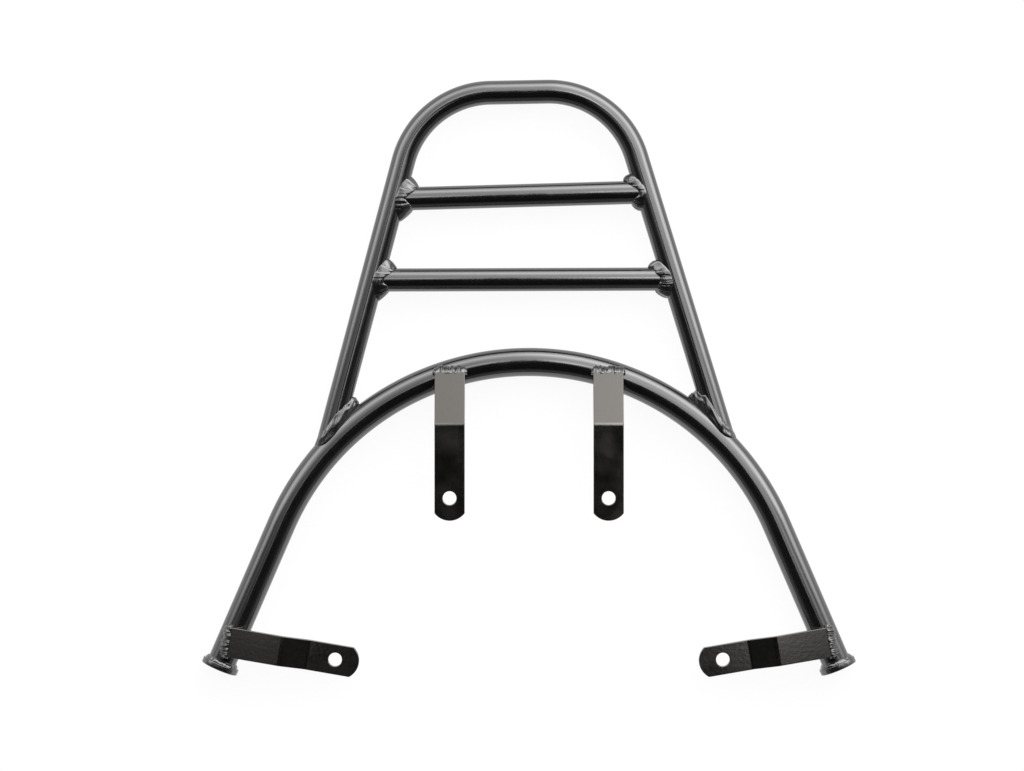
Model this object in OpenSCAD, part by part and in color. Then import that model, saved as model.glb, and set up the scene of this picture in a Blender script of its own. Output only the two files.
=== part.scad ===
// Motorcycle luggage rack: a bent arch tube that carries a loop of tube with two crossbars,
// four bent straps with bolt holes, and a disc on each end of the arch.
// Origin: midway between the two upper bolt holes, half way through their straps.
// +X to the right, +Y towards the loop's far end, +Z out of the face that carries the straps.
// The straps stand on this face of the tubes, so the rack rests on its back and on its two discs.

/* [Tubes] */
// Outside diameter of the arch tube
arch_d = 19; // [17:0.5:22]
// Outside diameter of the loop tube
loop_d = 16; // [14:0.5:18]
// Outside diameter of both crossbars, a little under the loop's so that they cope cleanly
bar_d = 15.6; // [13:0.1:15.8]
// Wall thickness of every tube
tube_wall = 1.5; // [1:0.1:2.5]

/* [Arch] */
// Bend radius of the arch at the tube's centre line
arch_r = 180; // [160:1:220]
// Angle of the two legs away from straight down
arch_leg_angle = 23.4; // [15:0.1:30]
// How far each leg runs past the middle of the lower strap that is welded to it
leg_past_strap = 16; // [12:0.5:30]
// Distance from the upper bolt holes to the top of the arch's centre line
arch_top_y = 90; // [75:1:110]

/* [Loop] */
// Distance from the top of the arch to the loop's far bar, centre line to centre line
loop_reach = 180; // [150:1:220]
// Length of the far bar's straight stretch
loop_straight = 38; // [10:1:70]
// Bend radius of the loop's two corners at the centre line
loop_bend_r = 61; // [40:1:75]
// Angle of the loop's legs away from straight down
loop_leg_angle = 16; // [8:0.5:20]
// How far the loop leans to the left about the arch's centre, as it was welded (0 is straight)
loop_lean = 1.1; // [-2:0.1:2]

/* [Crossbars] */
// Distance from the far bar to the upper crossbar
upper_bar_drop = 69; // [60:1:80]
// Distance from the far bar to the lower crossbar
lower_bar_drop = 125; // [105:1:140]
// Turn of the upper crossbar against the loop
upper_bar_turn = 0.5; // [-1.5:0.1:1.5]
// Turn of the lower crossbar against the loop
lower_bar_turn = -0.9; // [-1.5:0.1:1.5]

/* [Strap stock] */
// Width of the flat bar
strap_w = 20; // [16:0.5:22]
// Thickness of the flat bar
strap_t = 4; // [3:0.5:5]
// Radius of the rounded tip
tip_r = 12.5; // [11:0.5:20]
// Diameter of the bolt holes, clearance for an M8 bolt
hole_d = 9; // [8.4:0.1:10.5]
// Bend radius at the middle of the bar's thickness
strap_bend_r = 10; // [6:1:20]

/* [Upper straps] */
// Distance between the two upper bolt holes
upper_spacing = 105; // [90:1:120]
// Rise angle of the first stretch above the plane of the tubes
upper_rise = 14; // [8:1:20]
// Length of the first stretch in plan, from the weld to the bend
upper_first = 34; // [28:1:40]
// Distance from the hole to the tip
upper_tip = 15; // [12:0.5:18]

/* [Lower straps] */
// Distance between the two lower bolt holes
lower_spacing = 258; // [245:1:262]
// Distance of the lower bolt holes behind the upper ones
lower_back = 108; // [100:1:114]
// Slope of the straps in plan, tips towards the open end
lower_slope = 9.8; // [4:0.1:12]
// Angle of the step down to the pad
step_angle = 26; // [20:1:35]
// Height of the step
step_drop = 8; // [5:0.5:9]
// Distance from the hole to the nearer end of the step
step_from_hole = 17.2; // [15:0.1:22]
// Distance from the hole to the tip
lower_tip = 16; // [12:0.5:18]

/* [End discs] */
// Diameter of the discs
disc_d = 25; // [22:0.5:30]
// Thickness of the discs
disc_t = 4; // [2:0.5:6]

/* [Welds] */
// Radius of the bead around a crossbar's end
bar_bead_r = 3; // [2:0.1:3.4]
// Radius of the fill in the two corners beside a crossbar's end
corner_bead_r = 4.2; // [3:0.1:5]
// Radius of the bead where the loop meets the arch
loop_bead_r = 3.2; // [2:0.1:3.6]
// Radius of the bead along a strap's end
strap_bead_r = 3.2; // [2.4:0.1:3.8]
// Radius of the bead behind a disc
disc_bead_r = 2.5; // [1.6:0.1:2.8]

/* [Hidden] */
$fn = 48;
// Facets around the long sweeps in the preview
sweep_fn = 240;
// Flats per bend of a strap
bend_steps = 8;
// Reach of the trimming blocks, more than the rack's size
room = 600;
// Lumps per bead, and the facets of one lump
bar_lumps = 14;
strap_lumps = 6;
disc_lumps = 16;
lump_fn = 24;
// How far the corner fill stands out from both tubes
corner_out = 1;
// A strap's bead: how far it is behind the strap's end, above the crest and in from the edges
strap_bead_back = 0.6;
strap_bead_up = 0.8;
strap_bead_in = 2;
// How far the bead behind a disc is off the tube and off the disc
disc_bead_off = 0.6;
// How much thinner the far bar's straight is than its bends: a real step, where equal tubes leave a sliver
far_bar_thinner = 0.1;
// Angle by which a tube's bend runs past the middle, and its hollow twice as far, before both are trimmed
bend_past = 1;
arch_centre = [0, arch_top_y - arch_r];
loop_top_y = arch_top_y + loop_reach;
loop_corner = [loop_straight / 2, loop_top_y - loop_bend_r];
// Direction of the right legs, seen from the top of each bend downwards
loop_dir = [sin(loop_leg_angle), -cos(loop_leg_angle)];
arch_dir = [sin(arch_leg_angle), -cos(arch_leg_angle)];
// Points where the right bends end and the legs begin
loop_tangent = loop_corner + loop_bend_r * [cos(loop_leg_angle), sin(loop_leg_angle)];
arch_tangent = arch_centre + arch_r * [cos(arch_leg_angle), sin(arch_leg_angle)];
// The loop's leg runs until its axis meets the arch's centre line
loop_leg_len = reach(loop_tangent - arch_centre, loop_dir, arch_r);
loop_foot = loop_tangent + loop_leg_len * loop_dir;
// The flatter the leg meets the arch, the longer their seam, and the more lumps it takes;
// the step from lump to lump is given in radii of the bead
lump_step = 1.38;
loop_meet = abs((loop_foot - arch_centre) * loop_dir) / arch_r;
loop_lumps = ceil(PI * loop_d / loop_meet / (lump_step * loop_bead_r));
// Inner radius of a strap's bend, and the upper strap's straight before its bend
bend_in = strap_bend_r - strap_t / 2;
upper_leg = upper_first / cos(upper_rise) - strap_bend_r * tan(upper_rise / 2);
upper_pad_z = arch_d / 2 + upper_leg * sin(upper_rise) + bend_in * (1 - cos(upper_rise));
// The upper strap starts on the crest of the arch; its hole is level with the origin
upper_end_y = arch_centre.y + sqrt(pow(arch_r, 2) - pow(upper_spacing / 2, 2));
// Height of the origin above the plane of the tubes
origin_z = upper_pad_z + strap_t / 2;
// The lower strap runs from its hole to the crest of the arch's leg
lower_hole = [lower_spacing / 2, -lower_back];
lower_dir = [cos(lower_slope), sin(lower_slope)];
lower_len = crossing(lower_hole, lower_dir, arch_tangent, arch_dir);
lower_end = lower_hole + lower_len * lower_dir;
// The arch's leg ends a little past the strap
arch_foot = lower_end + leg_past_strap * arch_dir;
arch_leg_len = norm(arch_foot - arch_tangent);
// Straight part of the step between its two bends
step_straight = (step_drop - 2 * strap_bend_r * (1 - cos(step_angle))) / sin(step_angle);
step_run = 2 * strap_bend_r * sin(step_angle) + step_straight * cos(step_angle);
lower_first = lower_len - step_from_hole - step_run;

// Distance along direction d from point a (seen from a circle's centre) to the circle of radius r
function reach(a, d, r) = -(a * d) - sqrt(pow(a * d, 2) - a * a + r * r);

// Distance along direction d from point p to the line through q with direction e
function crossing(p, d, q, e) = ((q.x - p.x) * e.y - (q.y - p.y) * e.x) / (d.x * e.y - d.y * e.x);

// Puts the plane of the tubes at its height below the origin
module placed() {
  translate([0, 0, -origin_z]) children();
}

// The loop and its crossbars turn together about the arch's centre
module leaned() {
  translate(arch_centre) rotate(loop_lean) translate(-arch_centre) children();
}

// Left or right copy of something modelled on the right
module on_side(side) {
  if (side < 0) mirror([1, 0, 0]) children();
  else children();
}

// Round bar from p to q in the plane of the tubes
module rod(p, q, d) {
  v = q - p;
  translate(p) rotate(atan2(v.y, v.x)) rotate([0, 90, 0]) cylinder(h = norm(v), d = d);
}

// Everything to the right of x = edge
module right_of(edge) {
  translate([edge, -room, -room]) cube([2 * room, 2 * room, 2 * room]);
}

// A leg and the bend above it, both made in the bend's own frame so that they meet exactly;
// the bend runs past the top by a few degrees, to be trimmed there
module leg_and_bend(centre, r, leg_angle, leg_len, d, past) {
  translate(centre) rotate(leg_angle) {
    translate([r, 0, 0]) rotate([90, 0, 0]) cylinder(h = leg_len, d = d);
    rotate_extrude(angle = 90 - leg_angle + past, $fn = sweep_fn) translate([r, 0]) circle(d = d);
  }
}

// The arch as a hollow tube: two halves that meet at x = 0
module arch_shape() {
  for (side = [-1, 1]) on_side(side) intersection() {
    difference() {
      leg_and_bend(arch_centre, arch_r, arch_leg_angle, arch_leg_len, arch_d, bend_past);
      leg_and_bend(
        arch_centre, arch_r, arch_leg_angle, arch_leg_len,
        arch_d - 2 * tube_wall, 2 * bend_past
      );
    }
    right_of(0);
  }
}

// The arch's bend alone, with room past both ends, to cut what sits against it
module arch_bend_fill(d) {
  first = arch_leg_angle - bend_past;
  translate(arch_centre) rotate(first)
    rotate_extrude(angle = 180 - 2 * first, $fn = sweep_fn) translate([arch_r, 0]) circle(d = d);
}

// The arch's right leg alone
module arch_leg_fill(d) {
  rod(arch_tangent, arch_foot, d);
}

// The loop filled to diameter d: the far bar, then a bend and a leg on each side
module loop_fill(d) {
  translate([-loop_corner.x, loop_top_y, 0]) rotate([0, 90, 0]) cylinder(h = loop_straight, d = d - far_bar_thinner);
  for (side = [-1, 1]) on_side(side) intersection() {
    leg_and_bend(loop_corner, loop_bend_r, loop_leg_angle, loop_leg_len, d, bend_past);
    right_of(loop_corner.x);
  }
}

// The loop's right leg alone
module loop_leg_fill(d) {
  translate(loop_corner) rotate(loop_leg_angle)
    translate([loop_bend_r, 0, 0]) rotate([90, 0, 0]) cylinder(h = loop_leg_len, d = d);
}

// Half length of a crossbar, up to the axis of the loop's leg
function bar_half(drop) =
  loop_tangent.x + (loop_tangent.y - loop_top_y + drop) * tan(loop_leg_angle);

// A crossbar filled to diameter d, a drop below the far bar and turned by a small angle
module bar_fill(drop, turn, d) {
  half = bar_half(drop);
  translate([0, loop_top_y - drop, 0]) rotate(turn) rod([-half, 0], [half, 0], d);
}

// Crossbar tube, coped to both legs of the loop
module crossbar(drop, turn) {
  leaned() difference() {
    bar_fill(drop, turn, bar_d);
    bar_fill(drop, turn, bar_d - 2 * tube_wall);
    for (side = [-1, 1]) on_side(side) loop_leg_fill(loop_d);
  }
}

// Points on an arc about centre c, from angle a0 to a1
function arc(c, r, a0, a1) =
  [for (i = [0:bend_steps]) let (a = a0 + (a1 - a0) * i / bend_steps) c + r * [cos(a), sin(a)]];

// Flat bar across the width of the stock, from its outline in side view
module bar_from(outline) {
  rotate([90, 0, 0]) translate([0, 0, -strap_w / 2]) linear_extrude(strap_w) polygon(outline);
}

// Rounds the tip of a bar that ends at x = tip_u and drills its bolt hole at x = hole_u
module finish_pad(hole_u, tip_u) {
  arc_u = tip_u - tip_r;
  difference() {
    intersection() {
      children();
      union() {
        translate([-strap_w, -strap_w, -room]) cube([arc_u + strap_w, 2 * strap_w, 2 * room]);
        translate([arc_u, 0, -room]) cylinder(h = 2 * room, r = tip_r);
      }
    }
    translate([hole_u, 0, -room]) cylinder(h = 2 * room, d = hole_d);
  }
}

// Upper strap in its own frame: its end at x = 0 on the crest, running along +X, its pad raised
module upper_strap_shape() {
  along = [cos(upper_rise), sin(upper_rise)];
  up = [-along.y, along.x];
  start = [0, arch_d / 2];
  knee = start + upper_leg * along - bend_in * up;
  tip_u = upper_end_y + upper_tip;
  lower_edge = concat([start], arc(knee, bend_in, 90 + upper_rise, 90), [[tip_u, upper_pad_z]]);
  upper_edge = concat(
    [[tip_u, upper_pad_z + strap_t]],
    arc(knee, bend_in + strap_t, 90, 90 + upper_rise),
    [start + strap_t * up]
  );
  finish_pad(upper_end_y, tip_u) bar_from(concat(lower_edge, upper_edge));
}

// Lower strap in its own frame: its end at x = 0 on the crest, running along +X, its pad stepped down
module lower_strap_shape() {
  seat = arch_d / 2;
  pad = seat - step_drop;
  knee = [lower_first, seat - bend_in];
  heel = [lower_first + step_run, pad + strap_t + bend_in];
  tip_u = lower_len + lower_tip;
  lower_edge = concat(
    [[0, seat]],
    arc(knee, bend_in, 90, 90 - step_angle),
    arc(heel, bend_in + strap_t, 270 - step_angle, 270),
    [[tip_u, pad]]
  );
  upper_edge = concat(
    [[tip_u, pad + strap_t]],
    arc(heel, bend_in, 270, 270 - step_angle),
    arc(knee, bend_in + strap_t, 90 - step_angle, 90),
    [[0, seat + strap_t]]
  );
  finish_pad(lower_len, tip_u) bar_from(concat(lower_edge, upper_edge));
}

// Places for the right straps: the frame's +X points from the weld to the tip
module at_upper_strap() {
  translate([upper_spacing / 2, upper_end_y]) rotate(-90) children();
}

module at_lower_strap() {
  translate(lower_end) rotate(180 + lower_slope) children();
}

// One lump of weld
module lump(p, r) {
  translate(p) sphere(r = r, $fn = lump_fn);
}

// Bead around one end of a crossbar, with a larger fill in both corners
module bar_weld(drop, turn, side) {
  half = bar_half(drop);
  leg_r = loop_d / 2;
  bar_r = bar_d / 2;
  rise = side * half * sin(turn);
  leaned() difference() {
    translate([0, loop_top_y - drop, 0]) {
      for (i = [0:bar_lumps - 1]) {
        a = 360 * (i + 0.5) / bar_lumps;
        v = bar_r * cos(a);
        w = bar_r * sin(a);
        x = half - v * tan(loop_leg_angle) - sqrt(leg_r * leg_r - w * w) / cos(loop_leg_angle);
        lump([side * x, v + rise, w], bar_bead_r);
      }
      for (s = [-1, 1]) {
        v = s * (bar_r + corner_out);
        x = half - v * tan(loop_leg_angle) - (leg_r + corner_out) / cos(loop_leg_angle);
        lump([side * x, v + rise, 0], corner_bead_r);
      }
    }
    bar_fill(drop, turn, bar_d);
    on_side(side) loop_leg_fill(loop_d);
  }
}

// Bead along the coped end of the loop's leg on the arch
module loop_weld(side) {
  leg_r = loop_d / 2;
  tube_r = arch_d / 2;
  across = [cos(loop_leg_angle), sin(loop_leg_angle)];
  leaned() difference() {
    on_side(side) for (i = [0:loop_lumps - 1]) {
      a = 360 * i / loop_lumps;
      p = loop_tangent + leg_r * cos(a) * across;
      z = leg_r * sin(a);
      q = p + reach(p - arch_centre, loop_dir, arch_r + sqrt(tube_r * tube_r - z * z)) * loop_dir;
      lump([q.x, q.y, z], loop_bead_r);
    }
    on_side(side) loop_leg_fill(loop_d);
    arch_bend_fill(arch_d);
  }
}

// Lumps along a strap's end, in the strap's frame
module strap_lumps() {
  first = strap_w / 2 - strap_bead_in;
  step = 2 * first / (strap_lumps - 1);
  for (i = [0:strap_lumps - 1]) {
    lump([-strap_bead_back, i * step - first, arch_d / 2 + strap_bead_up], strap_bead_r);
  }
}

// Bead along the end of the upper strap
module upper_strap_weld() {
  difference() {
    at_upper_strap() strap_lumps();
    at_upper_strap() upper_strap_shape();
    arch_bend_fill(arch_d);
  }
}

// Bead along the end of the lower strap
module lower_strap_weld() {
  difference() {
    at_lower_strap() strap_lumps();
    at_lower_strap() lower_strap_shape();
    arch_leg_fill(arch_d);
    rod(arch_foot, arch_foot + disc_t * arch_dir, disc_d);
  }
}

// Bead around the arch's end, behind the disc; it gives way to the strap's bead
module disc_weld() {
  ring_r = arch_d / 2 + disc_bead_off;
  seat = arch_foot - disc_bead_off * arch_dir;
  across = [cos(arch_leg_angle), sin(arch_leg_angle)];
  difference() {
    for (i = [0:disc_lumps - 1]) {
      a = 360 * (i + 0.5) / disc_lumps;
      p = seat + ring_r * cos(a) * across;
      lump([p.x, p.y, ring_r * sin(a)], disc_bead_r);
    }
    arch_leg_fill(arch_d);
    rod(arch_foot, arch_foot + disc_t * arch_dir, disc_d);
    at_lower_strap() strap_lumps();
    at_lower_strap() lower_strap_shape();
  }
}

module arch_tube() {
  color("#1a1a1a") placed() arch_shape();
}

module loop_tube() {
  color("#1a1a1a") placed() leaned() difference() {
    loop_fill(loop_d);
    loop_fill(loop_d - 2 * tube_wall);
    arch_bend_fill(arch_d);
  }
}

module upper_crossbar() {
  color("#202020") placed() crossbar(upper_bar_drop, upper_bar_turn);
}

module lower_crossbar() {
  color("#202020") placed() crossbar(lower_bar_drop, lower_bar_turn);
}

module upper_strap(side) {
  color("#262626") placed() on_side(side) at_upper_strap() upper_strap_shape();
}

module lower_strap(side) {
  color("#262626") placed() on_side(side) at_lower_strap() lower_strap_shape();
}

module end_disc(side) {
  color("#262626") placed() on_side(side) rod(arch_foot, arch_foot + disc_t * arch_dir, disc_d);
}

module upper_strap_weld_on(side) {
  color("#303030") placed() on_side(side) upper_strap_weld();
}

module lower_strap_weld_on(side) {
  color("#303030") placed() on_side(side) lower_strap_weld();
}

module disc_weld_on(side) {
  color("#303030") placed() on_side(side) disc_weld();
}

module loop_weld_on(side) {
  color("#303030") placed() loop_weld(side);
}

module bar_weld_on(drop, turn, side) {
  color("#303030") placed() bar_weld(drop, turn, side);
}

arch_tube();
loop_tube();
upper_crossbar();
lower_crossbar();
upper_strap(-1);  // upper_strap_left
upper_strap(1);  // upper_strap_right
lower_strap(-1);  // lower_strap_left
lower_strap(1);  // lower_strap_right
end_disc(-1);  // end_disc_left
end_disc(1);  // end_disc_right
bar_weld_on(upper_bar_drop, upper_bar_turn, -1);  // upper_bar_weld_left
bar_weld_on(upper_bar_drop, upper_bar_turn, 1);  // upper_bar_weld_right
bar_weld_on(lower_bar_drop, lower_bar_turn, -1);  // lower_bar_weld_left
bar_weld_on(lower_bar_drop, lower_bar_turn, 1);  // lower_bar_weld_right
loop_weld_on(-1);  // loop_weld_left
loop_weld_on(1);  // loop_weld_right
upper_strap_weld_on(-1);  // upper_strap_weld_left
upper_strap_weld_on(1);  // upper_strap_weld_right
lower_strap_weld_on(-1);  // lower_strap_weld_left
lower_strap_weld_on(1);  // lower_strap_weld_right
disc_weld_on(-1);  // disc_weld_left
disc_weld_on(1);  // disc_weld_right
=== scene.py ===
# %% [markdown]
# # Motorcycle luggage rack
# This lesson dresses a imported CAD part. The rack is a cage of round steel tube: an arch that wraps
# the rear of the seat, a tapered loop that stands on it, two crossbars, and four flat straps with
# bolt holes. All of it wears one gloss black coat, so nearly everything that we see is reflection.
# The CAD pieces could be kept and only shaded smooth, but a reflection shows each facet of a coarse
# mesh. So each piece is replaced by a finer surface, worked out with numpy from the same sizes.

# %% Load the frame
import math

import bpy
import numpy as np
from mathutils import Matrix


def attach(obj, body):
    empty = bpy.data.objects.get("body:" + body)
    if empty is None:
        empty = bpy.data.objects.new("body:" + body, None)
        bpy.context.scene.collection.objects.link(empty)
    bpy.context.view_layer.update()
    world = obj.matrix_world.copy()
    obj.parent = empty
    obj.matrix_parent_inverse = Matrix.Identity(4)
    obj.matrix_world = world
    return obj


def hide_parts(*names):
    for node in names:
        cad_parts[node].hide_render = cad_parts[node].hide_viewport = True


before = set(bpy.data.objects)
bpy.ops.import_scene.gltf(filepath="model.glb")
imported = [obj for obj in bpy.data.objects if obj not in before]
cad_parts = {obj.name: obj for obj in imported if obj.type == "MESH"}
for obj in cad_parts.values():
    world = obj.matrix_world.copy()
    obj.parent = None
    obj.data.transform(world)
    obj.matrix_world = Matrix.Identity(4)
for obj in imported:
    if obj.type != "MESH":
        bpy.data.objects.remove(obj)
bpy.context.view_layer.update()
scene = bpy.context.scene
print("CAD nodes:", len(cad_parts))

# %% [markdown]
# ## Sizes
# The same numbers as in the CAD source, here in metres. They could be measured on the CAD meshes,
# but a bend or a slope is hard to read back from triangles. A few driving sizes are written once,
# and every place is worked out from them, so both models stay alike.

# %% Sizes of the tubes
MM = 0.001
ARCH_D, LOOP_D, BAR_D = 19 * MM, 16 * MM, 15.6 * MM
ARCH_R, ARCH_TOP, LEG_PAST_STRAP = 180 * MM, 90 * MM, 16 * MM
ARCH_ANGLE = math.radians(23.4)
LOOP_REACH, LOOP_HALF, LOOP_R = 180 * MM, 19 * MM, 61 * MM
LOOP_ANGLE, LOOP_LEAN = math.radians(16), math.radians(1.1)
UPPER_BAR, LOWER_BAR = (69 * MM, math.radians(0.5)), (125 * MM, math.radians(-0.9))
print("tubes of %.0f, %.0f and %.1f mm" % (ARCH_D / MM, LOOP_D / MM, BAR_D / MM))

# %% Sizes of the straps and discs
STRAP_W, STRAP_T, TIP_R, HOLE_R = 20 * MM, 4 * MM, 12.5 * MM, 4.5 * MM
BEND_R, STEP_R = 10 * MM, 5 * MM
UPPER_X, UPPER_RISE, UPPER_FIRST, UPPER_TIP = 52.5 * MM, math.radians(14), 34 * MM, 15 * MM
LOWER_X, LOWER_BACK, LOWER_SLOPE, LOWER_TIP = 129 * MM, 108 * MM, math.radians(9.8), 16 * MM
STEP_ANGLE, STEP_DROP, STEP_NEAR = math.radians(26), 8 * MM, 17.2 * MM
DISC_R, DISC_T = 12.5 * MM, 4 * MM
print("bolt holes %.0f and %.0f mm apart" % (2 * UPPER_X / MM, 2 * LOWER_X / MM))

# %% [markdown]
# ## Points that the pieces share
# The right half is worked out flat, in the plane of the tubes, and the left half mirrors it. A strap
# ends on a tube and a leg ends on an arch, so these points are crossings of lines and circles. They
# could be typed in, but then no size could change. The plane of the tubes lies below the origin,
# which is midway between the upper bolt holes, on the raised straps.

# %% Lines and circles
def turned(angle):
    """Unit vector in the plane of the tubes at this angle from +X."""
    return np.array([math.cos(angle), math.sin(angle)])

def reach(a, d, r):
    """Distance from a along d to the circle of radius r about zero, for one point or many."""
    ad = np.sum(a * d, axis=-1)
    return -ad - np.sqrt(ad ** 2 - np.sum(a * a, axis=-1) + r ** 2)

def crossing(p, d, q, e):
    """Distance along d from p to the line through q with direction e."""
    return ((q[0] - p[0]) * e[1] - (q[1] - p[1]) * e[0]) / (d[0] * e[1] - d[1] * e[0])

def unit(v):
    """Vectors scaled to length 1."""
    return v / np.linalg.norm(v, axis=-1, keepdims=True)

# %% Centres, corners and ends
arch_centre = np.array([0.0, ARCH_TOP - ARCH_R])
arch_dir, arch_across = turned(ARCH_ANGLE - math.pi / 2), turned(ARCH_ANGLE)
arch_tangent = arch_centre + ARCH_R * arch_across
loop_top = ARCH_TOP + LOOP_REACH
loop_corner = np.array([LOOP_HALF, loop_top - LOOP_R])
loop_dir, loop_across = turned(LOOP_ANGLE - math.pi / 2), turned(LOOP_ANGLE)
loop_tangent = loop_corner + LOOP_R * loop_across
loop_leg = float(reach(loop_tangent - arch_centre, loop_dir, ARCH_R))
lower_hole, lower_dir = np.array([LOWER_X, -LOWER_BACK]), turned(LOWER_SLOPE)
lower_len = crossing(lower_hole, lower_dir, arch_tangent, arch_dir)
lower_end = lower_hole + lower_len * lower_dir
arch_foot = lower_end + LEG_PAST_STRAP * arch_dir
upper_end_y = arch_centre[1] + math.sqrt(ARCH_R ** 2 - UPPER_X ** 2)
print("the arch's right leg ends at", np.round(arch_foot / MM, 1), "mm")

# %% Height of the tubes' plane
upper_leg = UPPER_FIRST / math.cos(UPPER_RISE) - BEND_R * math.tan(UPPER_RISE / 2)
bend_inside = BEND_R - STRAP_T / 2
pad_z = ARCH_D / 2 + upper_leg * math.sin(UPPER_RISE) + bend_inside * (1 - math.cos(UPPER_RISE))
TUBE_Z = -(pad_z + STRAP_T / 2)
FLOOR_Z = TUBE_Z - DISC_R
print("plane of the tubes at z = %.2f mm" % (TUBE_Z / MM))

# %% [markdown]
# ## Camera
# The photograph looks straight down on the rack, with the loop's far bar at the top. One pixel
# is 0.667 mm there, which fixes how wide the view is. A short lens close by would show the sides of
# the tubes; a long lens from 2 m keeps the perspective small, as in the photograph.

# %% Camera above the rack
VIEW_WIDTH, CAMERA_UP, SENSOR = 0.683, 2.0, 36.0
CAMERA_X, CAMERA_Y = -0.0113, 0.0743
camera_data = bpy.data.cameras.new("camera")
camera_data.sensor_width = SENSOR
camera_data.lens = SENSOR * CAMERA_UP / VIEW_WIDTH
camera = bpy.data.objects.new("camera", camera_data)
camera.location = (CAMERA_X, CAMERA_Y, TUBE_Z + CAMERA_UP)
scene.collection.objects.link(camera)
scene.camera = camera
scene.view_settings.view_transform = "Standard"
print("lens %.1f mm" % camera_data.lens)

# %% [markdown]
# ## Light tent
# A gloss black tube shows the room around it, so the room is built first: a tent of white cloth,
# lit from behind on its far side, with a brighter band low down, and dark on the near side. A slit
# for the lens runs up the middle of its roof. Area lamps could stand in for the cloth, but each
# would show as a hard rectangle on the tubes. A dome whose glow is stored on its points can fade
# softly in every direction. The camera doesn't see the dome, only the rack does.

# %% Helpers for node trees
def bare_material(name):
    """A material with only an output node; gives the material, its tree and the output."""
    material = bpy.data.materials.new(name)
    material.use_nodes = True
    tree = material.node_tree
    tree.nodes.clear()
    return material, tree, tree.nodes.new("ShaderNodeOutputMaterial")

def maths(tree, operation, a, b):
    """One maths node; a and b are sockets or numbers."""
    node = tree.nodes.new("ShaderNodeMath")
    node.operation = operation
    for socket, v in zip(node.inputs, (a, b)):
        if isinstance(v, (int, float)):
            socket.default_value = v
        else:
            tree.links.new(v, socket)
    return node.outputs[0]

# %% Brightness of the cloth by direction
BAND_ANGLES = [16, 27, 37, 50, 64, 80, 90]
BAND_GLOWS = [0.0, 0.7, 1.3, 2.8, 4.3, 2.0, 0.4]

def smooth(low, high, v):
    """0 below low, 1 above high, and an S-curve between."""
    t = np.clip((v - low) / (high - low), 0, 1)
    return t * t * (3 - 2 * t)

def roof_glow(x, y, down):
    """An even roof that begins beyond the slit, is brightest beside it 16 degrees from the top,
    fades between 26 and 46 degrees, and is brighter on the right."""
    side = np.abs(x)
    start = 0.17 - 0.11 * smooth(0.01, 0.05, side) - 0.22 * smooth(0.07, 0.13, side)
    start = start + 0.08 * smooth(0.16, 0.30, side)
    width = 0.28 - 0.21 * smooth(0.01, 0.05, side) + 0.12 * smooth(0.10, 0.20, side)
    beside_slit = smooth(0.02, 0.04, side) * (1 - smooth(0.08, 0.16, side))
    roof = 1.3 * (1 + 2.0 * beside_slit * np.exp(-((down - 16) / 6) ** 2))
    roof = roof * (1 - 0.75 * smooth(26, 46, down)) * smooth(start, start + width, y)
    return roof * (1 + 0.6 * np.tanh(x / 0.16))

def band_glow(x, y, down):
    """A band low on the far side: a curve by angle from the top, a little brighter on the right."""
    band = np.interp(down, BAND_ANGLES, BAND_GLOWS) * smooth(0.14, 0.33, y)
    return band * (1 + 0.2 * np.tanh(x / 0.1))

def near_glow(x, y, down):
    """The near side is almost dark, with a little light low down and at both ends."""
    return (0.01 + 0.22 * smooth(50, 76, down) + 0.07 * x * x) * (1 - smooth(-0.05, 0.2, y))

def tent_glow(direction):
    """Roof + band + near side, for unit vectors from the middle of the table."""
    x, y, z = direction[..., 0], direction[..., 1], direction[..., 2]
    down = np.degrees(np.arccos(np.clip(z, -1, 1)))
    return roof_glow(x, y, down) + band_glow(x, y, down) + near_glow(x, y, down)

print("brightest cloth: %.1f" % max(BAND_GLOWS))

# %% Dome with the glow on its points
TENT_R, DOWN_STEPS, ROUND_STEPS = 3.0, 60, 120
theta = np.linspace(0.001, np.pi / 2, DOWN_STEPS)
phi = np.arange(ROUND_STEPS) * 2 * np.pi / ROUND_STEPS
flat_ray = np.sin(theta)[:, None, None] * np.stack([np.cos(phi), np.sin(phi)], -1)
ray = np.concatenate([flat_ray, np.broadcast_to(np.cos(theta)[:, None, None], (*flat_ray.shape[:2], 1))], -1)
index = np.arange(DOWN_STEPS * ROUND_STEPS).reshape(DOWN_STEPS, ROUND_STEPS)
upper, under = index[:-1], index[1:]
quads = np.stack([upper, np.roll(upper, -1, 1), np.roll(under, -1, 1), under], -1)
tent_mesh = bpy.data.meshes.new("light_tent")
tent_points = (TENT_R * ray).reshape(-1, 3) + [0, 0, FLOOR_Z - 10 * MM]
tent_mesh.from_pydata(tent_points, [], quads.reshape(-1, 4).tolist())
glow = tent_mesh.attributes.new("glow", "FLOAT", "POINT")
glow.data.foreach_set("value", tent_glow(ray).astype(np.float32).ravel())
tent = bpy.data.objects.new("light_tent", tent_mesh)
scene.collection.objects.link(tent)
tent.visible_camera = False

# %% Cloth that glows, and a light meter on the table
cloth, tree, out = bare_material("tent_cloth")
stored = tree.nodes.new("ShaderNodeAttribute")
stored.attribute_name = "glow"
shine = tree.nodes.new("ShaderNodeEmission")
tree.links.new(stored.outputs["Fac"], shine.inputs["Strength"])
tree.links.new(shine.outputs[0], out.inputs[0])
tent_mesh.materials.append(cloth)
share = np.sin(theta) * np.cos(theta) * (theta[1] - theta[0]) * (phi[1] - phi[0])
print("light on the table: %.2f" % ((tent_glow(ray) * share[:, None]).sum() / np.pi))

# %% [markdown]
# ## Table
# A plain white table. A matte white could be lit until it clips, but that light would also fall on
# the rack. So Light Path lets the camera and the glossy tubes see it as glowing white paper,
# while a small part of the true, lit surface is kept, so that the rack's soft shadow stays. Beyond
# the table's edge a low camera sees the world, which is the same white.

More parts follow.
